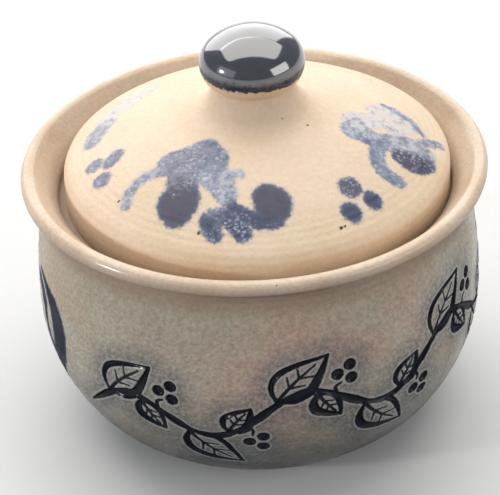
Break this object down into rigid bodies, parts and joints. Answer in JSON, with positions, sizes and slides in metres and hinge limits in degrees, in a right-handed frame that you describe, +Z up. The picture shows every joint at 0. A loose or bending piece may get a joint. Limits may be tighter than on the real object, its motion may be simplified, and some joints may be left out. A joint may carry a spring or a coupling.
{
  "type": "lidded garlic pot",
  "caption": "Squat round stoneware pot with a flared rim and a domed, knobbed lid resting in it; keeps garlic bulbs dark and dry.",
  "frame": {"origin": "centre of the standing ring, on the surface that the pot stands on", "axes": "+Z up along the turning axis; the incised front faces -Y, +X to its right"},
  "size_m": [0.145, 0.145, 0.1296],
  "materials": {
    "stoneware_body": "grey salt-glazed stoneware with incised and brushed cobalt blue ornament",
    "stoneware_lid": "grey salt-glazed stoneware with brushed cobalt blue sprigs and a knob dipped in cobalt glaze"
  },
  "bodies": {
    "root": {"pot": "stoneware_body", "lid": "stoneware_lid"}
  },
  "joints": []
}
